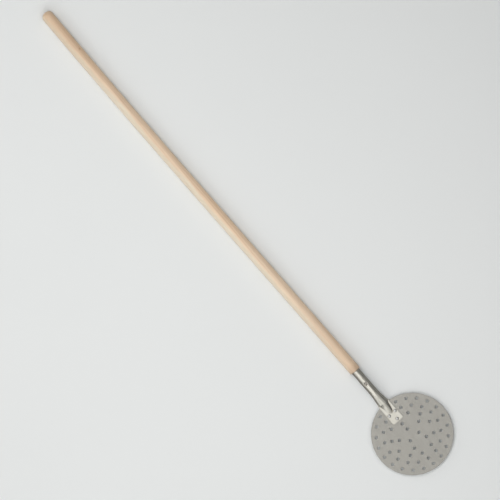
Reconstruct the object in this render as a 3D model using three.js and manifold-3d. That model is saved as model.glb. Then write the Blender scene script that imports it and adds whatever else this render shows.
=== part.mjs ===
// A round perforated pizza peel: a wooden pole in a metal tube whose flattened end is riveted to a disc.
//
// Millimetres. The origin is the centre of the blade's underside. +X points from the pole to the blade's
// leading edge, +Z is up and the blade's underside is the plane z = 0.
import * as THREE from 'three';
import { mergeVertices } from 'three/addons/utils/BufferGeometryUtils.js';
import Module from 'manifold-3d';

const GAP = 0.3;

// Blade: a flat sheet with rings of holes. It sits turned a little about the pole's direction.
const BLADE_RADIUS = 103;
const BLADE_SHEET = 1.2;
const BLADE_TURN = THREE.MathUtils.degToRad(3.4);
const HOLE_RADIUS = 4.1;
const HOLE_SIDES = 16;
const RIM_SIDES = 128;
const RING_COUNTS = [3, 5, 11, 17, 21];
const RING_FIRST_RADIUS = 17.5;
const RING_PITCH = 18.25;

// Pole and tube share one axis, which passes beside the blade's centre.
const AXIS_Y = -4.5;
const TUBE_RADIUS = 11;
const TUBE_WALL = 1.2;
const TUBE_MOUTH_X = -212.2;
const FLARE_START_X = -146;
const SHOULDER_X = -106;
const RIDGE_NOSE_X = -72.8;
const TONGUE_END_X = -47.5;

// The tube is pressed flat this far above its own underside, so the blade stands clear of the ground.
const TONGUE_RISE = 5;
const AXIS_Z = BLADE_SHEET - TONGUE_RISE + TUBE_RADIUS;

// The tongue is the tube pressed flat, two walls thick, with a ridge left along its middle.
const TONGUE_THICKNESS = 2 * TUBE_WALL;
const SHOULDER_HALF_WIDTH = 15.6;
const TONGUE_HALF_WIDTH = 16.1;
const TONGUE_CORNER = 3;
const SHOULDER_HEIGHT = 11;
const RIDGE_HALF_WIDTH = 8.6;
const POCKET_END_X = -79;

// Pole
const POLE_RADIUS = 14.8;
const POLE_TIP_X = -1397;
const POLE_TIP_DOME = 11;
const POLE_BOW = 3;
const POLE_EDGE = 0.8;
const TENON_LENGTH = 62;
const TENON_RADIUS = TUBE_RADIUS - TUBE_WALL - GAP;

// Rivets: domed above the tongue, flush and countersunk under the blade.
const RIVET_RING = 2;
const RIVET_PAIR_RING = 3;
const RIVET_PAIR_HALF_SPACING = 10;
const RIVET_HEAD_RADIUS = 4.3;
const RIVET_HEAD_HEIGHT = 2.3;
const RIVET_SHANK_RADIUS = 2.4;
const RIVET_TAIL_RADIUS = 3.5;
const RIVET_SIDES = 20;

// Nail through the tube into the tenon, its head in a dimple of the tube's wall.
const NAIL_X = -171;
const NAIL_TILT = THREE.MathUtils.degToRad(9);
const DIMPLE_RADIUS = 7.1;
const DIMPLE_DEPTH = 1.6;
const NAIL_SHANK_RADIUS = 1.4;
const NAIL_HEAD_RADIUS = 3.2;
const NAIL_HEAD_TOP = 0.5;
const NAIL_LENGTH = 17;
const NAIL_POINT = 3;

const WOOD = { color: 0xd8ae86, roughness: 0.62, metalness: 0 };
const SATIN_STEEL = { color: 0xa9a59c, roughness: 0.38, metalness: 0.9 };
const NICKEL = { color: 0xc9c4b8, roughness: 0.28, metalness: 0.95 };
const BRIGHT_STEEL = { color: 0xd6d6d2, roughness: 0.22, metalness: 0.95 };
const DULL_STEEL = { color: 0x8e8378, roughness: 0.5, metalness: 0.85 };

const wasm = await Module();
wasm.setup();

// --- solids -------------------------------------------------------------------------------------

function toSolid(geometry) {
  const bare = geometry.clone();
  bare.deleteAttribute('normal');
  bare.deleteAttribute('uv');
  const merged = mergeVertices(bare);
  const vertProperties = new Float32Array(merged.attributes.position.array);
  const triVerts = new Uint32Array(merged.index.array);
  return new wasm.Manifold(new wasm.Mesh({ numProp: 3, vertProperties, triVerts }));
}

function toGeometry(solid) {
  const mesh = solid.getMesh();
  const geometry = new THREE.BufferGeometry();
  geometry.setAttribute('position', new THREE.BufferAttribute(mesh.vertProperties, 3));
  geometry.setIndex(new THREE.BufferAttribute(mesh.triVerts, 1));
  geometry.computeVertexNormals();
  return geometry;
}

// A closed skin over rings of equal length, each end closed by a fan about the ring's middle.
// The rings run towards +X, and each turns from -Z through +Y to +Z.
function loft(rings) {
  const sides = rings[0].length;
  const positions = rings.flat().flatMap((point) => point.toArray());
  const index = [];
  for (let i = 0; i + 1 < rings.length; i += 1) {
    for (let k = 0; k < sides; k += 1) {
      const a = i * sides + k;
      const b = i * sides + ((k + 1) % sides);
      index.push(a, b + sides, a + sides);
      index.push(a, b, b + sides);
    }
  }
  const ends = [0, rings.length - 1];
  for (const i of ends) {
    const middle = rings[i].reduce((sum, point) => sum.add(point), new THREE.Vector3()).divideScalar(sides);
    const apex = positions.length / 3;
    positions.push(...middle.toArray());
    for (let k = 0; k < sides; k += 1) {
      const a = i * sides + k;
      const b = i * sides + ((k + 1) % sides);
      index.push(...(i === 0 ? [apex, b, a] : [apex, a, b]));
    }
  }
  const geometry = new THREE.BufferGeometry();
  geometry.setAttribute('position', new THREE.Float32BufferAttribute(positions, 3));
  geometry.setIndex(index);
  geometry.computeVertexNormals();
  return geometry;
}

function circlePoints(radius, sides, centre = new THREE.Vector2()) {
  return Array.from({ length: sides }, (_, k) => {
    const angle = (2 * Math.PI * k) / sides;
    return new THREE.Vector2(centre.x + radius * Math.cos(angle), centre.y + radius * Math.sin(angle));
  });
}

// A turned solid about +Z from [radius, height] pairs that start and end on the axis, lowest first.
function turned(profile, sides) {
  const points = profile.map(([radius, height]) => new THREE.Vector2(radius, height));
  return new THREE.LatheGeometry(points, sides).rotateX(Math.PI / 2);
}

function steps(from, to, count) {
  return Array.from({ length: count + 1 }, (_, i) => from + ((to - from) * i) / count);
}

function mesh(name, geometry, look) {
  const made = new THREE.Mesh(geometry, new THREE.MeshStandardMaterial(look));
  made.name = name;
  return made;
}

// --- rivets -------------------------------------------------------------------------------------

// A place given along and across the blade's own centre line, which runs back towards the pole.
function onBlade(back, across) {
  return new THREE.Vector2(-back, -across).rotateAround(new THREE.Vector2(), BLADE_TURN);
}

function ringRadius(ring) {
  return RING_FIRST_RADIUS + RING_PITCH * ring;
}

const RIVETS = {
  rivet_left: onBlade(ringRadius(RIVET_PAIR_RING), -RIVET_PAIR_HALF_SPACING),
  rivet_right: onBlade(ringRadius(RIVET_PAIR_RING), RIVET_PAIR_HALF_SPACING),
  rivet_front: onBlade(ringRadius(RIVET_RING), 0),
};
const TONGUE_TOP = BLADE_SHEET + TONGUE_THICKNESS;

function rivetGeometry() {
  const domeSteps = 5;
  const dome = steps(0, Math.PI / 2, domeSteps).map((angle) => [
    RIVET_HEAD_RADIUS * Math.cos(angle),
    TONGUE_TOP + RIVET_HEAD_HEIGHT * Math.sin(angle),
  ]);
  dome[domeSteps][0] = 0;
  const profile = [
    [0, 0],
    [RIVET_TAIL_RADIUS, 0],
    [RIVET_SHANK_RADIUS, BLADE_SHEET],
    [RIVET_SHANK_RADIUS, TONGUE_TOP],
    ...dome,
  ];
  return turned(profile, RIVET_SIDES);
}

// The hole that one rivet needs through tongue and blade, with its countersink.
function rivetCutter(place) {
  const margin = 1;
  const slope = (RIVET_TAIL_RADIUS - RIVET_SHANK_RADIUS) / BLADE_SHEET;
  const profile = [
    [0, -margin],
    [RIVET_TAIL_RADIUS + GAP + slope * margin, -margin],
    [RIVET_SHANK_RADIUS + GAP, BLADE_SHEET],
    [RIVET_SHANK_RADIUS + GAP, TONGUE_TOP + margin],
    [0, TONGUE_TOP + margin],
  ];
  return toSolid(turned(profile, RIVET_SIDES).translate(place.x, place.y, 0));
}

function cutRivetHoles(solid) {
  return Object.values(RIVETS).reduce((rest, place) => rest.subtract(rivetCutter(place)), solid);
}

// --- blade --------------------------------------------------------------------------------------

// Every ring has one place on the centre line; the tongue covers it on the three outer rings.
function isUnderTongue(centre) {
  const clearance = 1;
  const beside = Math.abs(centre.y - AXIS_Y) < TONGUE_HALF_WIDTH + clearance;
  return beside && centre.x < TONGUE_END_X + clearance;
}

function holeCentres() {
  return RING_COUNTS.flatMap((count, ring) =>
    Array.from({ length: count }, (_, k) =>
      onBlade(ringRadius(ring), 0).rotateAround(new THREE.Vector2(), (2 * Math.PI * k) / count),
    ),
  ).filter((centre) => !isUnderTongue(centre));
}

function bladeGeometry() {
  const outline = new THREE.Shape(circlePoints(BLADE_RADIUS, RIM_SIDES));
  for (const centre of holeCentres()) {
    outline.holes.push(new THREE.Path(circlePoints(HOLE_RADIUS, HOLE_SIDES, centre)));
  }
  const sheet = new THREE.ExtrudeGeometry(outline, { depth: BLADE_SHEET, bevelEnabled: false });
  return toGeometry(cutRivetHoles(toSolid(sheet)));
}

// --- socket: tube, flare and tongue ---------------------------------------------------------------

const SECTION_HALF = 16;
const FOLD_STEPS = 4;
const FLAT_STEPS = 4;
const FLARE_STEPS = 10;
const RIDGE_STEPS = 14;
const CORNER_STEPS = 4;
const RIDGE_FLARE_LENGTH = 0.13;
const RIDGE_ROUNDING = 2.5;
const RIDGE_FALL = 0.8;
const FLARE_WIDENING = 1.9;
const SHOULDER_FALL = 0.76;

function flareShare(x) {
  return THREE.MathUtils.clamp((x - FLARE_START_X) / (SHOULDER_X - FLARE_START_X), 0, 1);
}

function ridgeShare(x) {
  return THREE.MathUtils.clamp((x - SHOULDER_X) / (RIDGE_NOSE_X - SHOULDER_X), 0, 1);
}

function tongueHalfWidth(x) {
  const share = THREE.MathUtils.clamp((x - SHOULDER_X) / (TONGUE_END_X - SHOULDER_X), 0, 1);
  const straight = THREE.MathUtils.lerp(SHOULDER_HALF_WIDTH, TONGUE_HALF_WIDTH, share);
  const intoCorner = Math.max(0, x - (TONGUE_END_X - TONGUE_CORNER));
  return straight - TONGUE_CORNER + Math.sqrt(TONGUE_CORNER ** 2 - intoCorner ** 2);
}

// Half the width of the ridge's foot: full at the shoulder, drawn in quickly, then round at the nose.
function ridgeHalfWidth(x) {
  const share = ridgeShare(x);
  const widest = SHOULDER_HALF_WIDTH - TUBE_WALL - GAP;
  const nose = RIDGE_HALF_WIDTH * Math.sqrt(1 - share ** RIDGE_ROUNDING);
  return nose + (widest - RIDGE_HALF_WIDTH) * Math.exp(-share / RIDGE_FLARE_LENGTH) * (1 - share);
}

function ridgeHeight(x) {
  return (SHOULDER_HEIGHT - TONGUE_THICKNESS) * (1 - ridgeShare(x)) ** RIDGE_FALL;
}

// The ridge's cross profile over its foot, from 1 at the middle to 0 at the foot.
function ridgeProfile(across, x) {
  const fullness = THREE.MathUtils.lerp(0.62, 0.9, ridgeShare(x));
  return Math.max(0, 1 - across ** 2) ** fullness;
}

// Right half of the pressed section, from the middle of its underside to the top of its ridge.
function pressedHalf(x, slot) {
  const fold = TUBE_WALL;
  const edge = tongueHalfWidth(x) - fold;
  if (slot <= FLAT_STEPS) {
    return [(edge * slot) / FLAT_STEPS, 0];
  }
  if (slot <= FLAT_STEPS + FOLD_STEPS) {
    const angle = -Math.PI / 2 + (Math.PI * (slot - FLAT_STEPS)) / FOLD_STEPS;
    return [edge + fold * Math.cos(angle), fold + fold * Math.sin(angle)];
  }
  const across = (SECTION_HALF - slot) / (SECTION_HALF - FLAT_STEPS - FOLD_STEPS - 1);
  const half = Math.min(ridgeHalfWidth(x), edge - GAP);
  return [half * across, TONGUE_THICKNESS + ridgeHeight(x) * ridgeProfile(across, x)];
}

function pocketHalf(x, slot) {
  const half = ridgeHalfWidth(x) - TUBE_WALL / 2;
  const middle = SECTION_HALF / 2;
  if (slot <= middle) {
    return [(half * slot) / middle, TUBE_WALL];
  }
  const across = (SECTION_HALF - slot) / middle;
  return [half * across, TUBE_WALL + ridgeHeight(x) * ridgeProfile(across, x)];
}

// One ring of the tube: round before the flare, the pressed section from the shoulder on.
function tubeRing(x, radius, pressed) {
  const share = flareShare(x);
  const widening = share ** FLARE_WIDENING;
  const pressing = share ** 2 * (3 - 2 * share) + SHOULDER_FALL * (share ** 3 - share ** 2);
  return Array.from({ length: 2 * SECTION_HALF }, (_, k) => {
    const slot = k <= SECTION_HALF ? k : 2 * SECTION_HALF - k;
    const side = k <= SECTION_HALF ? 1 : -1;
    const angle = -Math.PI / 2 + (Math.PI * slot) / SECTION_HALF;
    const [flatY, flatZ] = pressed(Math.max(x, SHOULDER_X), slot);
    const y = THREE.MathUtils.lerp(radius * Math.cos(angle), flatY, widening);
    const z = THREE.MathUtils.lerp(AXIS_Z + radius * Math.sin(angle), BLADE_SHEET + flatZ, pressing);
    return new THREE.Vector3(x, AXIS_Y + side * y, z);
  });
}

function outerStations() {
  const cornerStart = TONGUE_END_X - TONGUE_CORNER;
  const corner = steps(0, Math.PI / 2, CORNER_STEPS).map((angle) => cornerStart + TONGUE_CORNER * Math.sin(angle));
  const ridge = steps(0, Math.PI / 2, RIDGE_STEPS).map((angle) =>
    THREE.MathUtils.lerp(SHOULDER_X, RIDGE_NOSE_X, Math.sin(angle) * 0.5 + (angle / Math.PI)),
  );
  return [TUBE_MOUTH_X, ...steps(FLARE_START_X, SHOULDER_X, FLARE_STEPS), ...ridge.slice(1), ...corner];
}

function pocketStations() {
  const beyondMouth = TUBE_MOUTH_X - 5;
  const ridge = outerStations().filter((x) => x > FLARE_START_X && x < POCKET_END_X);
  return [beyondMouth, FLARE_START_X, ...ridge, POCKET_END_X];
}

// --- nail and its dimple --------------------------------------------------------------------------

// Shapes about the nail are drawn with the tube's axis at their origin and the nail along +Z.
function aboutNail(geometry) {
  return geometry.rotateX(NAIL_TILT).translate(NAIL_X, AXIS_Y, AXIS_Z);
}

const DIMPLE_CENTRE = TUBE_RADIUS - DIMPLE_DEPTH + DIMPLE_RADIUS;

function dimpleBall(grow) {
  const ball = new THREE.SphereGeometry(DIMPLE_RADIUS + grow, 24, 16).rotateX(Math.PI / 2);
  return toSolid(aboutNail(ball.translate(0, 0, DIMPLE_CENTRE)));
}

function nailGeometry() {
  const seatRadius = DIMPLE_RADIUS - GAP;
  const seat = (radius) => DIMPLE_CENTRE - Math.sqrt(seatRadius ** 2 - radius ** 2);
  const rim = seat(NAIL_HEAD_RADIUS);
  const top = TUBE_RADIUS + NAIL_HEAD_TOP;
  const point = top - NAIL_LENGTH;
  const domeSteps = 3;
  const dome = steps(0, Math.PI / 2, domeSteps).map((angle) => [
    NAIL_HEAD_RADIUS * Math.cos(angle),
    rim + GAP + (top - rim - GAP) * Math.sin(angle),
  ]);
  dome[domeSteps][0] = 0;
  const profile = [
    [0, point],
    [NAIL_SHANK_RADIUS, point + NAIL_POINT],
    [NAIL_SHANK_RADIUS, seat(NAIL_SHANK_RADIUS)],
    [NAIL_HEAD_RADIUS, rim],
    ...dome,
  ];
  return turned(profile, RIVET_SIDES);
}

function nailCutter() {
  const radius = NAIL_SHANK_RADIUS + GAP;
  const point = TUBE_RADIUS + NAIL_HEAD_TOP - NAIL_LENGTH - 2 * GAP;
  const profile = [
    [0, point],
    [radius, point + NAIL_POINT],
    [radius, TUBE_RADIUS],
    [0, TUBE_RADIUS],
  ];
  return toSolid(aboutNail(turned(profile, RIVET_SIDES)));
}

function socketGeometry() {
  const outer = toSolid(loft(outerStations().map((x) => tubeRing(x, TUBE_RADIUS, pressedHalf))));
  const pocketRadius = TUBE_RADIUS - TUBE_WALL;
  const pocket = toSolid(loft(pocketStations().map((x) => tubeRing(x, pocketRadius, pocketHalf))));
  const cup = dimpleBall(TUBE_WALL).intersect(outer);
  const tube = outer.subtract(pocket).add(cup).subtract(dimpleBall(0)).subtract(nailCutter());
  return toGeometry(cutRivetHoles(tube));
}

// --- pole -----------------------------------------------------------------------------------------

const POLE_SIDES = 40;
const POLE_SHOULDER_X = TUBE_MOUTH_X - GAP;

// The pole is slightly bowed towards -Y: nothing at its ends, most at a third of its length.
function poleBow(x) {
  const share = THREE.MathUtils.clamp((x - POLE_TIP_X) / (POLE_SHOULDER_X - POLE_TIP_X), 0, 1);
  return -POLE_BOW * 6.75 * share * (1 - share) ** 2;
}

function poleRing(x, radius) {
  return Array.from({ length: POLE_SIDES }, (_, k) => {
    const angle = -Math.PI / 2 + (2 * Math.PI * k) / POLE_SIDES;
    const y = AXIS_Y + poleBow(x) + radius * Math.cos(angle);
    return new THREE.Vector3(x, y, AXIS_Z + radius * Math.sin(angle));
  });
}

function handleGeometry() {
  const domeSteps = 7;
  const bodySteps = 14;
  const tip = steps(0.12, Math.PI / 2, domeSteps).map((angle) =>
    poleRing(POLE_TIP_X + POLE_TIP_DOME * (1 - Math.cos(angle)), POLE_RADIUS * Math.sin(angle)),
  );
  const bodyEnds = [POLE_TIP_X + POLE_TIP_DOME, POLE_SHOULDER_X - POLE_EDGE];
  const body = steps(...bodyEnds, bodySteps).slice(1).map((x) => poleRing(x, POLE_RADIUS));
  const shoulder = [poleRing(POLE_SHOULDER_X, POLE_RADIUS - POLE_EDGE), poleRing(POLE_SHOULDER_X, TENON_RADIUS)];
  const tenonEnd = POLE_SHOULDER_X + TENON_LENGTH;
  const tenon = [poleRing(tenonEnd - POLE_EDGE, TENON_RADIUS), poleRing(tenonEnd, TENON_RADIUS - POLE_EDGE)];
  const blank = toSolid(loft([...tip, ...body, ...shoulder, ...tenon]));
  return toGeometry(blank.subtract(dimpleBall(TUBE_WALL + GAP)).subtract(nailCutter()));
}

// --- assembly -------------------------------------------------------------------------------------

const peel = new THREE.Group();
peel.add(mesh('handle', handleGeometry(), WOOD));
peel.add(mesh('socket', socketGeometry(), NICKEL));
peel.add(mesh('blade', bladeGeometry(), SATIN_STEEL));
for (const [name, place] of Object.entries(RIVETS)) {
  const rivet = mesh(name, rivetGeometry(), BRIGHT_STEEL);
  rivet.position.set(place.x, place.y, 0);
  peel.add(rivet);
}
const nail = mesh('handle_nail', nailGeometry(), DULL_STEEL);
nail.position.set(NAIL_X, AXIS_Y, AXIS_Z);
nail.rotation.x = NAIL_TILT;
peel.add(nail);

export default peel;
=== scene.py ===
import math

import bmesh
import bpy
import numpy as np
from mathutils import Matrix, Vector
from mathutils.geometry import delaunay_2d_cdt


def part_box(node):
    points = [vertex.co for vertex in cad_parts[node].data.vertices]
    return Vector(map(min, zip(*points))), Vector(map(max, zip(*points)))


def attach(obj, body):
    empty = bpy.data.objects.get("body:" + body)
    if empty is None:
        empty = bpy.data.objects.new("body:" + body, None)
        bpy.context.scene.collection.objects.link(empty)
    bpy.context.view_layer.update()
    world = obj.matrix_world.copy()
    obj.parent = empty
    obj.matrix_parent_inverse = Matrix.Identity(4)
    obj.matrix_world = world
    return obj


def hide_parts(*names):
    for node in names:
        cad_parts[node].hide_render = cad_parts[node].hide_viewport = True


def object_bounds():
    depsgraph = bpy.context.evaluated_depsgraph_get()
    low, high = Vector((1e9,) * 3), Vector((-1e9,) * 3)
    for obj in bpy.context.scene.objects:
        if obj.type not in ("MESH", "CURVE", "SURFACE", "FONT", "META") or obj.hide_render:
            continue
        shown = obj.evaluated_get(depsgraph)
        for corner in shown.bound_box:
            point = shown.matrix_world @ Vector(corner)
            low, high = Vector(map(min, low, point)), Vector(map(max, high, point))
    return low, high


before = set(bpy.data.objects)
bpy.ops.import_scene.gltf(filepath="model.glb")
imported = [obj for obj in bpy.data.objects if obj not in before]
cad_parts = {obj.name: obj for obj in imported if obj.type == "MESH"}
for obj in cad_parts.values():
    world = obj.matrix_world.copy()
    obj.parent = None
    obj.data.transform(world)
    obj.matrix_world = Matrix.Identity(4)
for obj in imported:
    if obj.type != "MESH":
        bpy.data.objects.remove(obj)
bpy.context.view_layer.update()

# A round perforated pizza peel. Metres, in the CAD frame: +X runs from the pole to the blade's leading
# edge, +Z is up, and the origin is the centre of the blade's underside.
MM = 0.001
TAU = 2 * math.pi

# --- sizes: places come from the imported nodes, the rest repeats the CAD source's own dimensions --------

blade_low, blade_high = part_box("blade")
socket_low, socket_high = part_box("socket")
handle_low, handle_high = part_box("handle")
nail_low, nail_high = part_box("handle_nail")

GAP = 0.3 * MM
BLADE_RADIUS = (blade_high.x - blade_low.x) / 2
SHEET = blade_high.z
BLADE_TURN = math.radians(3.4)
HOLE_RADIUS = 4.1 * MM
RING_COUNTS = [3, 5, 11, 17, 21]
RING_FIRST = 17.5 * MM
RING_PITCH = 18.25 * MM

TUBE_RADIUS = 11 * MM
TUBE_WALL = 1.2 * MM
AXIS_Y = (socket_low.y + socket_high.y) / 2
AXIS_Z = socket_low.z + TUBE_RADIUS
MOUTH_X = socket_low.x
FLARE_X = MOUTH_X + 66.2 * MM
SHOULDER_X = MOUTH_X + 106.2 * MM
NOSE_X = MOUTH_X + 139.4 * MM
POCKET_END_X = MOUTH_X + 133.2 * MM
TONGUE_END_X = socket_high.x
TONGUE_THICKNESS = 2 * TUBE_WALL
TONGUE_TOP = SHEET + TONGUE_THICKNESS
SHOULDER_HALF = 15.6 * MM
TONGUE_HALF = 16.1 * MM
TONGUE_CORNER = 3 * MM
SHOULDER_HEIGHT = 11 * MM
RIDGE_HALF = 8.6 * MM
FOOT_SPREAD = 1.6 * MM

POLE_RADIUS = (handle_high.z - handle_low.z) / 2
POLE_TIP_X = handle_low.x
POLE_END_X = MOUTH_X - GAP
POLE_DOME = 11 * MM
POLE_BOW = 3 * MM
TENON_RADIUS = TUBE_RADIUS - TUBE_WALL - GAP
TENON_END_X = handle_high.x

NAIL_X = (nail_low.x + nail_high.x) / 2
NAIL_TILT = math.radians(9)
NAIL_AXIS = np.array([0, -math.sin(NAIL_TILT), math.cos(NAIL_TILT)])
NAIL_HEAD = 3.2 * MM


def smoothstep(low, high, value):
    share = np.clip((value - low) / (high - low), 0, 1)
    return share * share * (3 - 2 * share)


def lerp(a, b, share):
    return a + (b - a) * share


# --- mesh helpers --------------------------------------------------------------------------------------


class Skin:
    """Points and faces gathered ring by ring, then made into one object."""

    def __init__(self):
        self.points = []
        self.faces = []

    def add(self, points):
        start = len(self.points)
        self.points.extend(map(tuple, points))
        return list(range(start, start + len(points)))

    def band(self, a, b):
        count = len(a)
        for k in range(count):
            n = (k + 1) % count
            self.faces.append((a[k], a[n], b[n], b[k]))

    def loft(self, rings):
        """Skins a run of equal rings and returns the first and last ring's indices."""
        made = [self.add(ring) for ring in rings]
        for a, b in zip(made, made[1:]):
            self.band(a, b)
        return made[0], made[-1]

    def cap(self, ring):
        centre = np.mean([self.points[i] for i in ring], axis=0)
        (apex,) = self.add([centre])
        for k in range(len(ring)):
            self.faces.append((ring[k], ring[(k + 1) % len(ring)], apex))

    def build(self, name, sharp_degrees=40):
        mesh = bpy.data.meshes.new(name)
        mesh.from_pydata(self.points, [], self.faces)
        work = bmesh.new()
        work.from_mesh(mesh)
        bmesh.ops.recalc_face_normals(work, faces=work.faces)
        work.to_mesh(mesh)
        work.free()
        mesh.polygons.foreach_set("use_smooth", [True] * len(mesh.polygons))
        mesh.set_sharp_from_angle(angle=math.radians(sharp_degrees))
        made = bpy.data.objects.new(name, mesh)
        bpy.context.scene.collection.objects.link(made)
        return made


def mark(obj, name, values):
    """Keeps one number per vertex for the piece's material to read."""
    attribute = obj.data.attributes.new(name, "FLOAT", "POINT")
    attribute.data.foreach_set("value", np.asarray(values, np.float32))


def vertices(obj):
    found = np.empty(len(obj.data.vertices) * 3)
    obj.data.vertices.foreach_get("co", found)
    return found.reshape(-1, 3)


def weighted(obj):
    modifier = obj.modifiers.new("flat_faces", "WEIGHTED_NORMAL")
    modifier.keep_sharp = True
    modifier.weight = 80


def circle(radius, sides, x=0.0, y=0.0):
    angle = TAU * np.arange(sides) / sides
    return np.stack([x + radius * np.cos(angle), y + radius * np.sin(angle)], 1)


# --- pole ----------------------------------------------------------------------------------------------

POLE_SIDES = 112
POLE_STEPS = 260
DOME_STEPS = 30
DOME_START = 0.03
POLE_EDGE = 0.8 * MM
BOW_SCALE = 27 / 4  # makes the bow's deepest point equal to POLE_BOW

# How far, and over what length, a hand-turned pole is out of round.
OVAL = 0.07 * MM
LOBES = 0.05 * MM
RIPPLE = 0.05 * MM
OVAL_LENGTH = 0.31
RIPPLE_LENGTH = 0.043


def pole_bow(x):
    share = np.clip((x - POLE_TIP_X) / (POLE_END_X - POLE_TIP_X), 0, 1)
    return -POLE_BOW * BOW_SCALE * share * (1 - share) ** 2


def pole_ring(x, radius, uneven=1.0):
    """A ring of the pole, a little out of round as a planed and sanded pole is."""
    angle = TAU * np.arange(POLE_SIDES) / POLE_SIDES
    along = x / OVAL_LENGTH
    wave = OVAL * np.sin(2 * angle + along) + LOBES * np.sin(3 * angle - 1.7 * along + 1)
    wave = wave + RIPPLE * math.sin(x / RIPPLE_LENGTH)
    r = radius + uneven * wave
    y = AXIS_Y + pole_bow(x) + r * np.cos(angle)
    z = AXIS_Z + r * np.sin(angle)
    return np.stack([np.full(POLE_SIDES, x), y, z], 1)


def make_pole():
    skin = Skin()
    rings = []
    for angle in np.linspace(DOME_START, math.pi / 2, DOME_STEPS):
        x = POLE_TIP_X + POLE_DOME * (1 - math.cos(angle))
        rings.append(pole_ring(x, POLE_RADIUS * math.sin(angle), math.sin(angle) ** 2))
    for x in np.linspace(POLE_TIP_X + POLE_DOME, POLE_END_X - POLE_EDGE, POLE_STEPS)[1:]:
        rings.append(pole_ring(x, POLE_RADIUS))
    for angle in np.linspace(0, math.pi / 2, 6)[1:]:
        x = POLE_END_X - POLE_EDGE + POLE_EDGE * math.sin(angle)
        rings.append(pole_ring(x, POLE_RADIUS - POLE_EDGE + POLE_EDGE * math.cos(angle)))
    rings.append(pole_ring(POLE_END_X, TENON_RADIUS, 0))
    rings.append(pole_ring(TENON_END_X - POLE_EDGE, TENON_RADIUS, 0))
    rings.append(pole_ring(TENON_END_X, TENON_RADIUS - POLE_EDGE, 0))
    first, last = skin.loft(rings)
    skin.cap(first)
    skin.cap(last)
    return skin.build("pole")


# --- socket: tube, flare, shoulders, ridge and riveted tongue ------------------------------------------

# A section is drawn from the middle of its underside round to the middle of its top, in equal slots: the
# flat underside, the folded edge, one slot of tongue beside the ridge, and then the ridge.
HALF_STEPS = 96
SECTION_SLOTS = 16
FLAT_SLOTS = 4
FOLD_SLOTS = 4
FOLD_SQUARE = 0.4

WIDENING_POWER = 1.9
SHOULDER_RUN_ON = 0.76
SHOULDER_FADE = 0.13
NOSE_ROUND = 2.5
CREST_SLOPE = 0.7
FULL_AT_SHOULDER = 0.62
FULL_AT_NOSE = 0.9
GENTLE_POWER = 1.3
GENTLE_FROM = 0.4

MOUTH_ROUND = 0.35 * MM
RING_STEP = 0.6 * MM
SLIT_HALF = 0.09 * MM
SLIT_DEPTH = 1.6 * MM


def flare_share(x):
    return min(max((x - FLARE_X) / (SHOULDER_X - FLARE_X), 0), 1)


def ridge_share(x):
    return min(max((x - SHOULDER_X) / (NOSE_X - SHOULDER_X), 0), 1)


def tongue_half(x):
    share = min(max((x - SHOULDER_X) / (TONGUE_END_X - SHOULDER_X), 0), 1)
    straight = lerp(SHOULDER_HALF, TONGUE_HALF, share)
    into = max(0, x - (TONGUE_END_X - TONGUE_CORNER))
    return straight - TONGUE_CORNER + math.sqrt(max(0, TONGUE_CORNER**2 - into**2))


def ridge_half(x):
    share = ridge_share(x)
    widest = SHOULDER_HALF - TUBE_WALL - GAP
    nose = RIDGE_HALF * math.sqrt(1 - share**NOSE_ROUND)
    from_shoulder = (widest - RIDGE_HALF) * math.exp(-share / SHOULDER_FADE) * (1 - share)
    return min(nose + from_shoulder + FOOT_SPREAD * (1 - share**2), widest)


def ridge_height(x):
    """The crest leaves the tube at its own slope and dips faster towards the nose."""
    share = ridge_share(x)
    fall = CREST_SLOPE * share + (1 - CREST_SLOPE) * share**2
    return (SHOULDER_HEIGHT - TONGUE_THICKNESS) * (1 - fall)


def ridge_profile(across, x, side):
    """Round and steep on the +Y side, straighter and gentler on the other."""
    share = ridge_share(x)
    steep = np.maximum(0, 1 - across**2) ** lerp(FULL_AT_SHOULDER, FULL_AT_NOSE, share)
    gentle = lerp(steep, 1 - across**GENTLE_POWER, smoothstep(0, GENTLE_FROM, share))
    return np.where(side > 0, steep, gentle)


def pressed_half(x, slot, side):
    """One half of the pressed section, as offsets across and up from the middle of its underside."""
    edge = tongue_half(x) - TUBE_WALL
    half = min(ridge_half(x), edge - GAP)
    angle = -math.pi / 2 + math.pi * (slot - FLAT_SLOTS) / FOLD_SLOTS
    ridge_slots = SECTION_SLOTS - FLAT_SLOTS - FOLD_SLOTS - 1
    across = np.clip((SECTION_SLOTS - slot) / ridge_slots, 0, 1)
    shelf = np.clip(slot - FLAT_SLOTS - FOLD_SLOTS, 0, 1)
    flat = slot <= FLAT_SLOTS
    fold = ~flat & (slot <= FLAT_SLOTS + FOLD_SLOTS)
    over = ~flat & ~fold & (shelf < 1)
    y = half * across
    z = TONGUE_THICKNESS + ridge_height(x) * ridge_profile(across, x, side)
    y = np.where(over, lerp(edge, half, shelf), y)
    z = np.where(over, TONGUE_THICKNESS, z)
    outward = np.maximum(np.cos(angle), 0) ** FOLD_SQUARE
    upward = np.sign(np.sin(angle)) * np.abs(np.sin(angle)) ** FOLD_SQUARE
    y = np.where(fold, edge + TUBE_WALL * outward, y)
    z = np.where(fold, TUBE_WALL * (1 + upward), z)
    y = np.where(flat, edge * slot / FLAT_SLOTS, y)
    z = np.where(flat, 0, z)
    return y, z


def pocket_half(x, slot, side):
    """One half of the hollow inside the ridge, in the same terms."""
    half = ridge_half(x) - TUBE_WALL / 2
    middle = SECTION_SLOTS / 2
    across = np.clip((SECTION_SLOTS - slot) / middle, 0, 1)
    y = np.where(slot <= middle, half * slot / middle, half * across)
    z = TUBE_WALL + np.where(slot <= middle, 0, ridge_height(x) * ridge_profile(across, x, side))
    return y, z


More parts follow.
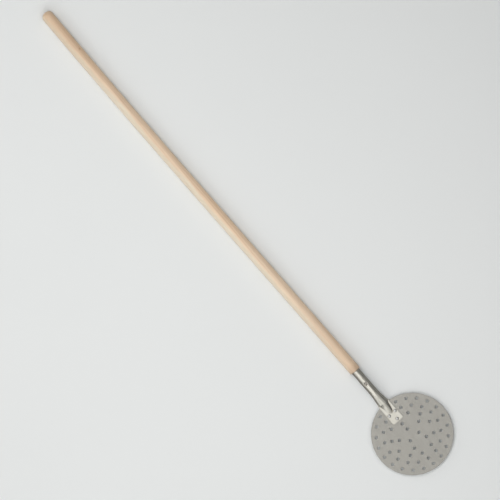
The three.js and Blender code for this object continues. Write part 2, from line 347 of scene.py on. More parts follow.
def tube_ring(x, radius, pressed):
    """A ring of the tube, which turns from round into the pressed section over the flare."""
    share = flare_share(x)
    widening = share**WIDENING_POWER
    pressing = share**2 * (3 - 2 * share) + SHOULDER_RUN_ON * (share**3 - share**2)
    k = np.arange(2 * HALF_STEPS)
    step = np.where(k <= HALF_STEPS, k, 2 * HALF_STEPS - k)
    slot = SECTION_SLOTS * step / HALF_STEPS
    side = np.where(k <= HALF_STEPS, 1, -1)
    angle = -math.pi / 2 + math.pi * slot / SECTION_SLOTS
    flat_y, flat_z = pressed(max(x, SHOULDER_X), slot, side)
    y = lerp(radius * np.cos(angle), flat_y, widening)
    z = lerp(AXIS_Z + radius * np.sin(angle), SHEET + flat_z, pressing)
    return np.stack([np.full(len(k), x), AXIS_Y + side * y, z], 1)


# Small hollows in the tube's wall: place along the tube, degrees towards +Y from the top, radius, depth.
DENTS = [
    (MOUTH_X + 27.6 * MM, 17, 5.2 * MM, 0.42 * MM),
    (MOUTH_X + 9.5 * MM, 20, 4.0 * MM, 0.16 * MM),
    (MOUTH_X + 55.0 * MM, -24, 6.5 * MM, 0.10 * MM),
]
DIMPLE_REACH = 6.0 * MM
DIMPLE_FLOOR = 2.4 * MM
DIMPLE_DEPTH = 1.5 * MM


def from_line(points, origin, axis):
    """Each point's distance from a line, and whether it's on the side the line points to."""
    offset = points - origin
    along = offset @ axis
    return np.linalg.norm(offset - along[:, None] * axis, axis=1), along > 0


def press_in(points):
    """The nail's dimple and the small dents, pushed into the tube's outer skin."""
    points = points.copy()
    origin = np.array([NAIL_X, AXIS_Y, AXIS_Z])
    distance, above = from_line(points, origin, NAIL_AXIS)
    bowl = smoothstep(DIMPLE_REACH, DIMPLE_FLOOR, distance) * above
    points -= (DIMPLE_DEPTH * bowl)[:, None] * NAIL_AXIS
    for x, lean, reach, depth in DENTS:
        lean = math.radians(lean)
        axis = np.array([0, math.sin(lean), math.cos(lean)])
        distance, above = from_line(points, np.array([x, AXIS_Y, AXIS_Z]), axis)
        hollow = smoothstep(reach, 0, distance) * above
        points -= (depth * hollow)[:, None] * axis
    return points


def make_socket():
    skin = Skin()
    rounding = np.linspace(0, math.pi / 2, 5)
    stations = [MOUTH_X + MOUTH_ROUND * (1 - math.cos(angle)) for angle in rounding]
    radii = [TUBE_RADIUS - MOUTH_ROUND * (1 - math.sin(angle)) for angle in rounding]
    run = list(np.arange(stations[-1] + RING_STEP, FLARE_X, RING_STEP))
    run += list(np.linspace(FLARE_X, SHOULDER_X, 60))
    turn = np.linspace(0, math.pi / 2, 70)[1:]
    run += list(lerp(SHOULDER_X, NOSE_X, np.sin(turn) * 0.5 + turn / math.pi))
    run += list(np.linspace(NOSE_X, TONGUE_END_X - TONGUE_CORNER, 14)[1:])
    run += list(TONGUE_END_X - TONGUE_CORNER * (1 - np.sin(np.linspace(0, math.pi / 2, 12)[1:])))
    rings = [tube_ring(x, r, pressed_half) for x, r in zip(stations, radii)]
    rings += [tube_ring(x, TUBE_RADIUS, pressed_half) for x in run]
    rings = [press_in(ring) if ring[0][0] < FLARE_X else ring for ring in rings]
    mouth, end = skin.loft(rings)

    # The cut end of the tongue shows its two layers as a fine slit.
    outline = rings[-1]
    middle = SHEET + TONGUE_THICKNESS / 2
    slit = outline.copy()
    reach = tongue_half(TONGUE_END_X) - TUBE_WALL * 0.8
    slit[:, 1] = AXIS_Y + np.clip(slit[:, 1] - AXIS_Y, -reach, reach)
    slit[:, 2] = middle + SLIT_HALF * np.sign(outline[:, 2] - middle)
    deep = slit.copy()
    deep[:, 0] -= SLIT_DEPTH
    lip = skin.add(slit)
    skin.band(end, lip)
    floor = skin.add(deep)
    skin.band(lip, floor)
    skin.cap(floor)

    # The hollow inside, from the mouth into the ridge.
    bore = TUBE_RADIUS - TUBE_WALL
    inner = [MOUTH_X] + list(np.linspace(FLARE_X, SHOULDER_X, 16))
    inner += list(np.linspace(SHOULDER_X, POCKET_END_X, 14)[1:])
    first, last = skin.loft([tube_ring(x, bore, pocket_half) for x in inner])
    skin.band(mouth, first)
    skin.cap(last)
    socket = skin.build("socket_tube", 50)
    weighted(socket)

    mark_tarnish_and_shade(socket)
    return socket


# Where rust, tarnish and painted shade sit, as a strength and the distances over which they fade.
# Rust in the nail's dimple, with painted shade over it.
NAIL_RUST_AND_SHADE = 0.9
NAIL_RUST_AND_SHADE_REACH = (5.6 * MM, 3.0 * MM)
MOUTH_TARNISH = 0.7
MOUTH_TARNISH_REACH = 2.2 * MM
FOOT_SHADE_STRENGTH = (0.75, 0.15)  # on the ridge's steep side and on its gentle side
FOOT_SHADE_WIDTH = (2.2 * MM, 0.8 * MM)

# Painted shade: the tube's sides count as steep, and are painted dark, between these upward parts of the
# normal.
PAINTED_SIDE_FROM, PAINTED_SIDE_FULL = 0.82, 0.50
PAINTED_SIDE_FADE = 14 * MM


def mark_tarnish_and_shade(socket):
    """Marks rust and painted shade in the nail's dimple, painted shade beside the ridge's foot, tarnish at
    the mouth, and painted shade on the tube's steep sides.
    """
    points = vertices(socket)
    origin = np.array([NAIL_X, AXIS_Y, AXIS_Z])
    distance, above = from_line(points, origin, NAIL_AXIS)
    # Rust and painted shade in the nail's dimple.
    tarnish_and_shade = NAIL_RUST_AND_SHADE * smoothstep(*NAIL_RUST_AND_SHADE_REACH, distance) * above
    x, y, z = points.T
    # Painted shade beside the ridge's foot, heavier on its steep +Y side, where the ridge's shadow falls.
    steep_side = y > AXIS_Y
    strength = np.where(steep_side, *FOOT_SHADE_STRENGTH)
    width = np.where(steep_side, *FOOT_SHADE_WIDTH)
    foot = np.array([ridge_half(v) for v in x])
    beside = np.abs(np.abs(y - AXIS_Y) - foot)
    on_tongue = (x > SHOULDER_X - 2 * MM) & (x < NOSE_X + 1 * MM) & (z > SHEET + TUBE_WALL)
    tarnish_and_shade = np.maximum(tarnish_and_shade, strength * smoothstep(width, 0, beside) * on_tongue)
    tarnish_and_shade = np.maximum(tarnish_and_shade, MOUTH_TARNISH * smoothstep(MOUTH_TARNISH_REACH, 0, x - MOUTH_X))
    mark(socket, "tarnish_and_shade", tarnish_and_shade)
    normals = np.empty(len(points) * 3)
    socket.data.vertex_normals.foreach_get("vector", normals)
    # Painted shade on the tube's steep sides, fading out before the shoulder.
    steep = smoothstep(PAINTED_SIDE_FROM, PAINTED_SIDE_FULL, normals.reshape(-1, 3)[:, 2])
    mark(socket, "side", steep * smoothstep(SHOULDER_X, SHOULDER_X - PAINTED_SIDE_FADE, x))


# --- blade ---------------------------------------------------------------------------------------------

RIM_SIDES = 288
HOLE_SIDES = 40
RIM_ROUND = 0.5 * MM
HOLE_ROUND = 0.28 * MM
ROUND_STEPS = 5

# Points inside the sheet, kept clear of its rim and of the holes.
GRID = 5 * MM
GRID_ROW = 0.866 * GRID
RIM_CLEAR = 3 * MM
HOLE_CLEAR = 1.6 * MM


def hole_centres():
    """Centres of the holes, without the places that the tongue covers."""
    found = []
    for ring, count in enumerate(RING_COUNTS):
        radius = RING_FIRST + RING_PITCH * ring
        for k in range(count):
            angle = math.pi + BLADE_TURN + TAU * k / count
            x, y = radius * math.cos(angle), radius * math.sin(angle)
            beside = abs(y - AXIS_Y) < TONGUE_HALF + MM
            if not (beside and x < TONGUE_END_X + MM):
                found.append((x, y))
    return found


def rounded_wall(radius, rounding, outward):
    """[radius, height] down a sheet's edge: its rounded upper half, then its rounded lower half."""
    curve = []
    for angle in np.linspace(0, math.pi / 2, ROUND_STEPS):
        inset = outward * rounding * (1 - math.sin(angle))
        curve.append((radius - inset, rounding * (1 - math.cos(angle))))
    return [(r, SHEET - drop) for r, drop in curve], curve[::-1]


def make_blade():
    holes = hole_centres()
    loops = [(BLADE_RADIUS, RIM_SIDES, 0.0, 0.0, RIM_ROUND, 1)]
    loops += [(HOLE_RADIUS, HOLE_SIDES, x, y, HOLE_ROUND, -1) for x, y in holes]
    flat, edges, starts = [], [], []
    for radius, sides, x, y, rounding, outward in loops:
        start = len(flat)
        starts.append(start)
        flat.extend(map(tuple, circle(radius - outward * rounding, sides, x, y)))
        edges.extend((start + k, start + (k + 1) % sides) for k in range(sides))
    reach = int(BLADE_RADIUS / GRID) + 1
    centres = np.array(holes)
    for i in range(-reach, reach + 1):
        for j in range(-reach, reach + 1):
            point = np.array([(i + 0.5 * (j % 2)) * GRID, j * GRID_ROW])
            if np.hypot(*point) > BLADE_RADIUS - RIM_CLEAR:
                continue
            if np.min(np.hypot(*(centres - point).T)) > HOLE_RADIUS + HOLE_CLEAR:
                flat.append(tuple(point))
    result = delaunay_2d_cdt([Vector(p) for p in flat], edges, [], 0, 1e-9, True)
    out_points, _, triangles, origins = result[:4]
    place = {source: i for i, sources in enumerate(origins) for source in sources}
    plan = np.array([tuple(p) for p in out_points])

    # Triangles whose three corners lie on one hole's edge fill that hole, and are dropped.
    owner = np.full(len(plan), -1)
    for which, start in enumerate(starts[1:]):
        owner[[place[start + k] for k in range(HOLE_SIDES)]] = which
    kept = [t for t in triangles if owner[t[0]] < 0 or not owner[t[0]] == owner[t[1]] == owner[t[2]]]

    skin = Skin()
    top = skin.add([(x, y, SHEET) for x, y in plan])
    under = skin.add([(x, y, 0.0) for x, y in plan])
    skin.faces.extend((top[a], top[b], top[c]) for a, b, c in kept)
    skin.faces.extend((under[c], under[b], under[a]) for a, b, c in kept)
    for (radius, sides, x, y, rounding, outward), start in zip(loops, starts):
        upper, lower = rounded_wall(radius, rounding, outward)
        rings = [[top[place[start + k]] for k in range(sides)]]
        for r, z in upper[1:] + lower[:-1]:
            ring = circle(r, sides, x, y)
            rings.append(skin.add(np.column_stack([ring, np.full(sides, z)])))
        rings.append([under[place[start + k]] for k in range(sides)])
        for a, b in zip(rings, rings[1:]):
            skin.band(a, b)
    blade = skin.build("blade_plate", 60)
    weighted(blade)

    # Wear on the rim and round the holes, for the material.
    x, y, z = vertices(blade).T
    rim = smoothstep(BLADE_RADIUS - 3 * MM, BLADE_RADIUS, np.hypot(x, y))
    near = np.min(np.hypot(x[:, None] - centres[:, 0], y[:, None] - centres[:, 1]), axis=1)
    burr = smoothstep(HOLE_RADIUS + 1.4 * MM, HOLE_RADIUS, near)
    mark(blade, "edge", np.maximum(rim, burr))
    return blade


# --- rivets and nail -----------------------------------------------------------------------------------


def turned(name, profile, sides, origin, axis=(0, 0, 1)):
    """A turned solid from [radius, height] pairs between its two ends on the axis, lowest first."""
    axis = Vector(axis)
    across = Vector((1, 0, 0))
    third = axis.cross(across)
    skin = Skin()
    angle = TAU * np.arange(sides) / sides
    rings = []
    for radius, height in profile:
        ring = np.outer(radius * np.cos(angle), across) + np.outer(radius * np.sin(angle), third)
        rings.append(ring + np.array(axis) * height + np.array(origin))
    first, last = skin.loft(rings)
    skin.cap(first)
    skin.cap(last)
    return skin.build(name, 45)


RIVET_SHANK = 2.4 * MM
RIVET_TAIL = 3.5 * MM
RIVET_BEVEL = 0.1 * MM
HEAD_UNDERCUT = 0.25 * MM
HEAD_LIP = 0.22 * MM
HEAD_FLATTEN = 0.94


def make_rivet(node):
    low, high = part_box(node)
    x, y = (low.x + high.x) / 2, (low.y + high.y) / 2
    head = (high.x - low.x) / 2
    height = high.z - TONGUE_TOP
    profile = [(RIVET_TAIL * 0.05, low.z), (RIVET_TAIL - RIVET_BEVEL, low.z)]
    profile += [(RIVET_TAIL, low.z + RIVET_BEVEL), (RIVET_SHANK, SHEET), (RIVET_SHANK, TONGUE_TOP)]
    profile += [(head - HEAD_UNDERCUT, TONGUE_TOP), (head, TONGUE_TOP + HEAD_LIP)]
    seat = TONGUE_TOP + RIVET_BEVEL
    for angle in np.linspace(0.14, math.pi / 2 - 0.03, 18):
        radius = head * math.cos(angle) ** HEAD_FLATTEN
        profile.append((radius, seat + (height - RIVET_BEVEL) * math.sin(angle)))
    return turned(node + "_domed", profile, 56, (x, y, 0))


NAIL_SHANK = 1.4 * MM
NAIL_TOP = TUBE_RADIUS + 0.35 * MM
NAIL_SEAT = TUBE_RADIUS - DIMPLE_DEPTH - 0.12 * MM
NAIL_RIM = NAIL_SEAT + 0.55 * MM
NAIL_POINT = TUBE_RADIUS - 16.5 * MM
NAIL_TAPER = 3 * MM


def make_nail():
    """Heights along the nail are measured from the tube's axis."""
    profile = [(0.1 * MM, NAIL_POINT), (NAIL_SHANK, NAIL_POINT + NAIL_TAPER), (NAIL_SHANK, NAIL_SEAT)]
    profile += [(NAIL_HEAD - 0.2 * MM, NAIL_SEAT + 0.1 * MM), (NAIL_HEAD, NAIL_SEAT + 0.3 * MM)]
    for angle in np.linspace(0, math.pi / 2 - 0.04, 14):
        height = NAIL_RIM + (NAIL_TOP - NAIL_RIM) * math.sin(angle)
        profile.append((NAIL_HEAD * math.cos(angle), height))
    return turned("nail_domed", profile, 48, (NAIL_X, AXIS_Y, AXIS_Z), NAIL_AXIS)


# --- materials -----------------------------------------------------------------------------------------


class Paint:
    """One material: nodes made by short calls that end in a single Principled BSDF."""

    def __init__(self, name, metallic):
        self.material = bpy.data.materials.new(name)
        self.material.use_nodes = True
        self.tree = self.material.node_tree
        self.tree.nodes.clear()
        out = self.tree.nodes.new("ShaderNodeOutputMaterial")
        self.shader = self.tree.nodes.new("ShaderNodeBsdfPrincipled")
        self.shader.inputs["Metallic"].default_value = metallic
        self.tree.links.new(self.shader.outputs["BSDF"], out.inputs["Surface"])
        self.place = self.tree.nodes.new("ShaderNodeTexCoord").outputs["Object"]

    def put(self, socket, value):
        if isinstance(value, bpy.types.NodeSocket):
            self.tree.links.new(value, socket)
        elif isinstance(value, tuple) and len(value) == 3 and socket.type == "RGBA":
            socket.default_value = (*value, 1)
        else:
            socket.default_value = value

    def node(self, kind, inputs=(), **settings):
        made = self.tree.nodes.new(kind)
        for key, value in settings.items():
            setattr(made, key, value)
        for key, value in dict(inputs).items():
            self.put(made.inputs[key], value)
        return made

    def math(self, operation, a, b=0.0):
        return self.node("ShaderNodeMath", {0: a, 1: b}, operation=operation).outputs[0]

    def scaled(self, scale, shift=(0.0, 0.0, 0.0)):
        inputs = {"Vector": self.place, "Scale": scale, "Location": shift}
        return self.node("ShaderNodeMapping", inputs).outputs[0]

    def noise(self, scale, detail=3.0, roughness=0.5, distortion=0.0, shift=(0.0, 0.0, 0.0)):
        """Noise of about -0.5 to 0.5, with a feature size of one over scale along each axis."""
        inputs = {
            "Vector": self.scaled(scale, shift),
            "Scale": 1.0,
            "Detail": detail,
            "Roughness": roughness,
            "Distortion": distortion,
        }
        made = self.node("ShaderNodeTexNoise", inputs).outputs["Fac"]
        return self.math("SUBTRACT", made, 0.5)

    def ramp(self, value, low, high, to_low=0.0, to_high=1.0):
        inputs = {"Value": value, "From Min": low, "From Max": high, "To Min": to_low, "To Max": to_high}
        return self.node("ShaderNodeMapRange", inputs, interpolation_type="SMOOTHSTEP").outputs[0]

    def mix(self, share, a, b):
        made = self.node("ShaderNodeMix", data_type="RGBA")
        self.put(made.inputs[0], share)
        self.put(made.inputs[6], a)
        self.put(made.inputs[7], b)
        return made.outputs[2]

    def attribute(self, name):
        return self.node("ShaderNodeAttribute", attribute_name=name).outputs["Fac"]

    def split(self):
        return self.node("ShaderNodeSeparateXYZ", {0: self.place}).outputs

    def relief(self, height, distance, strength=1.0, below=None):
        inputs = {"Height": height, "Distance": distance, "Strength": strength}
        if below is not None:
            inputs["Normal"] = below
        return self.node("ShaderNodeBump", inputs).outputs[0]

    def finish(self, colour, roughness, normal=None):
        self.put(self.shader.inputs["Base Color"], colour)
        self.put(self.shader.inputs["Roughness"], roughness)
        if normal is not None:
            self.put(self.shader.inputs["Normal"], normal)
        return self.material


PITH_Y = AXIS_Y + 0.030
PITH_Z = -0.052
RING_WIDTH = 0.0031


def wood():
    p = Paint("pole_wood", 0.0)
    x, y, z = p.split()

    # Growth rings about a pith that runs outside the pole, so that they show as long slanting bands.
    drift = p.noise((1.3, 9.0, 9.0), 2.0)
    pith_y = p.math("SUBTRACT", y, PITH_Y)
    pith_z = p.math("SUBTRACT", z, PITH_Z)
    squared = p.math("ADD", p.math("MULTIPLY", pith_y, pith_y), p.math("MULTIPLY", pith_z, pith_z))
    reach = p.math("ADD", p.math("SQRT", squared), p.math("MULTIPLY", drift, 0.016))
    ring = p.math("SINE", p.math("MULTIPLY", reach, TAU / RING_WIDTH))
    ring = p.ramp(ring, -0.2, 1.0)
    wide = p.noise((2.2, 16.0, 16.0), 3.0, shift=(3.0, 1.0, 2.0))
    fibre = p.noise((16.0, 900.0, 900.0), 4.0, 0.6)
    streak = p.noise((5.0, 240.0, 240.0), 3.0, 0.55, shift=(1.0, 4.0, 2.0))
    fleck = p.ramp(p.noise((330.0, 2400.0, 2400.0), 2.0, shift=(7.0, 2.0, 5.0)), 0.13, 0.2)

    colour = p.mix(ring, (0.785, 0.588, 0.406), (0.695, 0.485, 0.313))
    colour = p.mix(p.ramp(wide, -0.18, 0.2), colour, (0.815, 0.655, 0.487))
    colour = p.mix(p.ramp(streak, -0.02, 0.25, 0, 0.55), colour, (0.627, 0.422, 0.261))
    colour = p.mix(p.ramp(fibre, 0.0, 0.3, 0, 0.40), colour, (0.560, 0.365, 0.220))
    colour = p.mix(p.math("MULTIPLY", fleck, 0.45), colour, (0.300, 0.160, 0.080))

    # Painted sheen: the -Y side, where the lights fall, is painted paler and greyer, with a ragged edge.
    # Then short ray flecks.
    ragged = p.math("MULTIPLY", p.noise((11.0, 40.0, 40.0), 5.0, 0.65, shift=(6.0, 2.0, 3.0)), 0.013)
    side = p.ramp(p.math("ADD", y, ragged), AXIS_Y - 0.0100, AXIS_Y - 0.0025, 0.85, 0)
    colour = p.mix(side, colour, (0.735, 0.650, 0.515))
    ray = p.ramp(p.noise((70.0, 420.0, 420.0), 3.0, 0.6, shift=(8.0, 5.0, 1.0)), 0.10, 0.22, 0, 0.40)
    colour = p.mix(ray, colour, (0.800, 0.680, 0.530))

    # Handling darkens the grip end, and heat and grease the end at the socket.
    grip = p.ramp(p.math("ADD", x, p.math("MULTIPLY", wide, 0.10)), POLE_TIP_X, POLE_TIP_X + 0.30, 1, 0)
    colour = p.mix(p.math("MULTIPLY", grip, 0.32), colour, (0.520, 0.330, 0.185))
    warm = p.ramp(p.math("ADD", x, p.math("MULTIPLY", wide, 0.12)), POLE_END_X - 0.30, POLE_END_X, 0, 0.40)
    colour = p.mix(warm, colour, (0.600, 0.400, 0.245))
    sooty = p.ramp(p.math("ADD", x, p.math("MULTIPLY", wide, 0.02)), POLE_END_X - 0.022, POLE_END_X, 0, 0.35)
    colour = p.mix(sooty, colour, (0.33, 0.215, 0.14))

    # One small knot near the grip's end.
    knot = p.node("ShaderNodeVectorMath", {0: p.place, 1: KNOT}, operation="DISTANCE").outputs["Value"]
    knot = p.math("ADD", knot, p.math("MULTIPLY", p.noise((220.0, 220.0, 220.0), 2.0), 0.0012))
    colour = p.mix(p.ramp(knot, 0.0011, 0.0034, 0.70, 0), colour, (0.42, 0.22, 0.10))
    scuff = p.ramp(p.noise((24.0, 60.0, 60.0), 5.0, 0.7, shift=(2.0, 8.0, 1.0)), 0.16, 0.30)
    colour = p.mix(p.math("MULTIPLY", scuff, 0.30), colour, (0.40, 0.27, 0.18))

    roughness = p.math("ADD", 0.46, p.math("MULTIPLY", fibre, 0.22))
    roughness = p.math("ADD", roughness, p.math("MULTIPLY", scuff, 0.14))
    grain = p.math("ADD", p.math("MULTIPLY", fibre, 0.7), p.math("MULTIPLY", streak, 0.5))
    grain = p.math("SUBTRACT", grain, p.math("MULTIPLY", fleck, 0.5))
    normal = p.relief(grain, 0.00016, 0.8)
    p.shader.inputs["Coat Weight"].default_value = 0.12
    p.shader.inputs["Coat Roughness"].default_value = 0.35
    return p.finish(colour, roughness, normal)


def scratches(p, scale, shift, turn, thin):
    """Sparse fine lines: 1 on a scratch and 0 elsewhere, running along one direction in the sheet."""
    inputs = {"Vector": p.place, "Scale": scale, "Location": shift, "Rotation": (0.0, 0.0, turn)}
    turned_place = p.node("ShaderNodeMapping", inputs).outputs[0]
    wave = p.node("ShaderNodeTexNoise", {"Vector": turned_place, "Scale": 1.0, "Detail": 1.0}).outputs["Fac"]
    line = p.math("ABSOLUTE", p.math("SUBTRACT", wave, 0.5))
    return p.ramp(line, 0.0, thin, 1, 0)


def satin_sheet():
    p = Paint("satin_sheet", 1.0)
    cloud = p.noise((14.0, 14.0, 14.0), 4.0, 0.55, 0.6)
    smear = p.noise((9.0, 46.0, 20.0), 4.0, 0.6, 0.8, shift=(4.0, 2.0, 0.0))
    rolled = p.noise((60.0, 3200.0, 900.0), 3.0, 0.6)
    grit = p.noise((1500.0, 1500.0, 1500.0), 2.0, 0.6)
    colour = p.mix(p.ramp(cloud, -0.2, 0.2), (0.308, 0.299, 0.273), (0.341, 0.330, 0.301))
    colour = p.mix(p.ramp(smear, 0.10, 0.30, 0, 0.45), colour, (0.285, 0.270, 0.238))
    spot = p.ramp(p.noise((70.0, 70.0, 70.0), 3.0, 0.6, shift=(9.0, 1.0, 3.0)), 0.20, 0.28)
    colour = p.mix(p.math("MULTIPLY", spot, 0.35), colour, (0.245, 0.220, 0.180))
    edge = p.attribute("edge")
    colour = p.mix(p.math("MULTIPLY", edge, 0.35), colour, (0.33, 0.318, 0.29))
    lines = scratches(p, (7.0, 420.0, 60.0), (0.0, 0.0, 0.0), 0.35, 0.010)
    for shift, turn in (((3.0, 5.0, 1.0), 1.30), ((6.0, 1.0, 2.0), 2.25), ((2.0, 9.0, 4.0), -0.5)):
        lines = p.math("MAXIMUM", lines, scratches(p, (9.0, 330.0, 60.0), shift, turn, 0.008))
    colour = p.mix(p.math("MULTIPLY", lines, 0.25), colour, (0.44, 0.43, 0.405))
    roughness = p.math("ADD", 0.52, p.math("MULTIPLY", cloud, 0.10))
    roughness = p.math("ADD", roughness, p.math("MULTIPLY", rolled, 0.12))
    roughness = p.math("ADD", roughness, p.math("MULTIPLY", smear, 0.10))
    height = p.math("ADD", p.math("MULTIPLY", rolled, 0.6), p.math("MULTIPLY", grit, 0.4))
    height = p.math("SUBTRACT", height, p.math("MULTIPLY", lines, 0.5))
    normal = p.relief(height, 0.00003, 0.8)
    wave = p.noise((11.0, 11.0, 11.0), 1.0)
    normal = p.relief(wave, 0.0012, 0.5, normal)
    return p.finish(colour, roughness, normal)


def nickel():
    p = Paint("socket_metal", 1.0)
    cloud = p.noise((26.0, 40.0, 40.0), 4.0, 0.55, 0.5)
    drawn = p.noise((45.0, 1500.0, 1500.0), 3.0, 0.6)
    print_mark = p.noise((70.0, 70.0, 70.0), 4.0, 0.6, 0.7, shift=(5.0, 3.0, 1.0))
    colour = p.mix(p.ramp(cloud, -0.2, 0.2), (0.397, 0.383, 0.339), (0.443, 0.431, 0.388))
    polished = p.ramp(p.split()[0], FLARE_X, SHOULDER_X, 1, 0)
    colour = p.mix(polished, colour, (0.500, 0.482, 0.428))
    colour = p.mix(p.ramp(print_mark, 0.08, 0.28, 0, 0.30), colour, (0.35, 0.325, 0.27))
    # Rust in the nail's dimple and tarnish at the mouth, plus painted shade in the dimple and beside the
    # ridge's foot.
    tarnish_and_shade = p.math("MULTIPLY", p.attribute("tarnish_and_shade"), p.ramp(print_mark, -0.3, 0.15, 0.6, 1.0))
    colour = p.mix(tarnish_and_shade, colour, (0.120, 0.085, 0.050))
    # Painted shade on the tube's steep sides.
    colour = p.mix(p.math("MULTIPLY", p.attribute("side"), 0.85), colour, (0.105, 0.092, 0.071))
    lines = scratches(p, (18.0, 520.0, 520.0), (0.0, 2.0, 1.0), 0.12, 0.010)
    lines = p.math("MAXIMUM", lines, scratches(p, (260.0, 30.0, 200.0), (4.0, 1.0, 2.0), 0.4, 0.008))
    colour = p.mix(p.math("MULTIPLY", lines, 0.2), colour, (0.70, 0.69, 0.65))
    roughness = p.math("ADD", 0.34, p.math("MULTIPLY", cloud, 0.08))
    roughness = p.math("ADD", roughness, p.math("MULTIPLY", drawn, 0.10))
    roughness = p.math("ADD", roughness, p.math("MULTIPLY", tarnish_and_shade, 0.25))
    height = p.math("SUBTRACT", p.math("MULTIPLY", drawn, 0.5), p.math("MULTIPLY", lines, 0.5))
    normal = p.relief(height, 0.00003, 0.7)
    wave = p.noise((60.0, 60.0, 60.0), 1.0, shift=(1.0, 6.0, 2.0))
    normal = p.relief(wave, 0.0003, 0.5, normal)
    return p.finish(colour, roughness, normal)


def bright_metal(name, colours, rough, stain):
    p = Paint(name, 1.0)
    cloud = p.noise((260.0, 260.0, 260.0), 3.0, 0.6)
    pits = p.noise((900.0, 900.0, 900.0), 3.0, 0.6, shift=(3.0, 1.0, 8.0))
    colour = p.mix(p.ramp(cloud, -0.2, 0.25), *colours)
    colour = p.mix(p.ramp(pits, 0.12, 0.3, 0, stain), colour, (0.16, 0.11, 0.06))
    roughness = p.math("ADD", rough, p.math("MULTIPLY", cloud, 0.16))
    normal = p.relief(p.math("ADD", cloud, p.math("MULTIPLY", pits, 0.4)), 0.00012, 0.8)
    return p.finish(colour, roughness, normal)


def plain_floor():
    p = Paint("studio_floor", 0.0)
    tone = p.noise((3.0, 3.0, 3.0), 2.0)
    colour = p.mix(p.ramp(tone, -0.3, 0.3), (0.789, 0.803, 0.796), (0.795, 0.809, 0.802))
    p.shader.inputs["Specular IOR Level"].default_value = 0.15
    return p.finish(colour, 0.75)


# --- the peel ------------------------------------------------------------------------------------------

KNOT_X = POLE_TIP_X + 125.2 * MM
KNOT_LEAN = math.radians(35)
KNOT = (
    KNOT_X,
    AXIS_Y + float(pole_bow(KNOT_X)) + POLE_RADIUS * math.sin(KNOT_LEAN),
    AXIS_Z + POLE_RADIUS * math.cos(KNOT_LEAN),
)

rivet_metal = bright_metal("rivet_metal", ((0.42, 0.415, 0.40), (0.50, 0.495, 0.48)), 0.30, 0.35)
nail_steel = bright_metal("nail_steel", ((0.30, 0.28, 0.25), (0.38, 0.36, 0.33)), 0.36, 0.7)

PIECES = [
    (make_pole(), "handle", "pole_wood", wood()),
    (make_socket(), "socket", "socket_metal", nickel()),
    (make_blade(), "blade", "blade_steel", satin_sheet()),
    (make_nail(), "handle_nail", "nail_steel", nail_steel),
]
for node in ("rivet_left", "rivet_right", "rivet_front"):
    PIECES.append((make_rivet(node), node, "rivet_metal", rivet_metal))

for piece, node, slot, material in PIECES:
    piece.data.materials.append(material)
    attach(piece, "root")
    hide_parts(node)

# --- floor, light and camera ---------------------------------------------------------------------------

FLOOR_HALF = 14.0
floor_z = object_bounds()[0].z
skin = Skin()
corners = [(-1, -1), (1, -1), (1, 1), (-1, 1)]
skin.faces.append(tuple(skin.add([(FLOOR_HALF * x, FLOOR_HALF * y, floor_z) for x, y in corners])))
floor = skin.build("floor")
floor.data.materials.append(plain_floor())


LIGHT_CENTRE = Vector((-0.6, 0.0, 0.0))
LIGHT_COLOUR = (1.0, 1.0, 0.998)

# Softboxes: azimuth from +X towards +Y and tilt from overhead in degrees, then size across and along,
# radiance, and distance from the middle of the peel.
SOFTBOXES = {
    "key_softbox": (188, 21, 1.50, 1.50, 3.0, 2.6),
    "overhead_softbox": (335, 15, 1.60, 2.10, 1.85, 2.6),
    "front_softbox": (275, 44, 1.95, 1.40, 2.2, 3.6),
    "near_softbox": (330, 45, 1.50, 1.40, 1.2, 3.6),
    "right_softbox": (28, 46, 2.40, 0.95, 1.0, 2.6),
    "far_softbox": (98, 36, 1.50, 1.10, 0.8, 2.6),
    "low_left_softbox": (204, 66, 2.10, 0.90, 1.9, 2.6),
    "low_front_softbox": (302, 64, 1.65, 1.30, 2.4, 3.6),
}


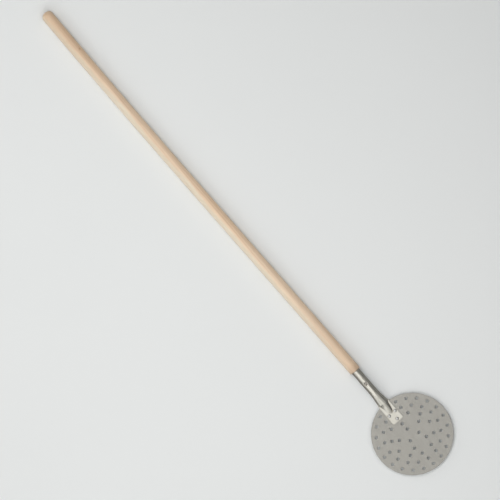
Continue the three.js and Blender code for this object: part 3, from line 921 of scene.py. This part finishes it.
def softbox(name, azimuth, tilt, across, along, radiance, reach):
    """A square-on studio softbox that faces the middle of the peel."""
    turn, lean = math.radians(azimuth), math.radians(tilt)
    away = Vector((math.sin(lean) * math.cos(turn), math.sin(lean) * math.sin(turn), math.cos(lean)))
    light = bpy.data.lights.new(name, "AREA")
    light.shape = "RECTANGLE"
    light.size, light.size_y = across, along
    light.energy = radiance * math.pi * across * along
    light.color = LIGHT_COLOUR
    made = bpy.data.objects.new(name, light)
    bpy.context.scene.collection.objects.link(made)
    made.location = LIGHT_CENTRE + reach * away
    made.rotation_mode = "QUATERNION"
    made.rotation_quaternion = (-away).to_track_quat("-Z", "Y")
    made.visible_camera = False


for name, values in SOFTBOXES.items():
    softbox(name, *values)


# The backdrop's glow fades from the horizon up: heights as the upward part of the direction looked in.
BACKDROP = {"From Min": 0.06, "From Max": 0.42, "To Min": 0.45, "To Max": 0.05}
BACKDROP_COLOUR = (0.985, 0.992, 1.0, 1)


def studio_world():
    """A dim studio with a pale backdrop low on the horizon."""
    world = bpy.data.worlds.new("studio")
    bpy.context.scene.world = world
    world.use_nodes = True
    tree = world.node_tree
    direction = tree.nodes.new("ShaderNodeTexCoord").outputs["Generated"]
    split = tree.nodes.new("ShaderNodeSeparateXYZ")
    tree.links.new(direction, split.inputs[0])
    ramp = tree.nodes.new("ShaderNodeMapRange")
    ramp.interpolation_type = "SMOOTHSTEP"
    tree.links.new(split.outputs["Z"], ramp.inputs["Value"])
    for key, value in BACKDROP.items():
        ramp.inputs[key].default_value = value
    background = tree.nodes["Background"]
    background.inputs["Color"].default_value = BACKDROP_COLOUR
    tree.links.new(ramp.outputs[0], background.inputs["Strength"])


studio_world()

# The camera looks straight down from far off, so that the pole's height doesn't spread its outline.
CAMERA_X = -0.6133
CAMERA_Y = -0.0053
CAMERA_HEIGHT = 16.0
CAMERA_TURN = math.radians(49.08)
VIEW_WIDTH = 1.25
SENSOR = 36.0
camera_data = bpy.data.cameras.new("camera")
camera_data.sensor_width = SENSOR
camera_data.lens = SENSOR * CAMERA_HEIGHT / VIEW_WIDTH
camera_data.clip_end = 100
camera = bpy.data.objects.new("camera", camera_data)
bpy.context.scene.collection.objects.link(camera)
camera.location = (CAMERA_X, CAMERA_Y, CAMERA_HEIGHT)
camera.rotation_euler = (0, 0, CAMERA_TURN)
bpy.context.scene.camera = camera
bpy.context.scene.view_settings.view_transform = "Standard"
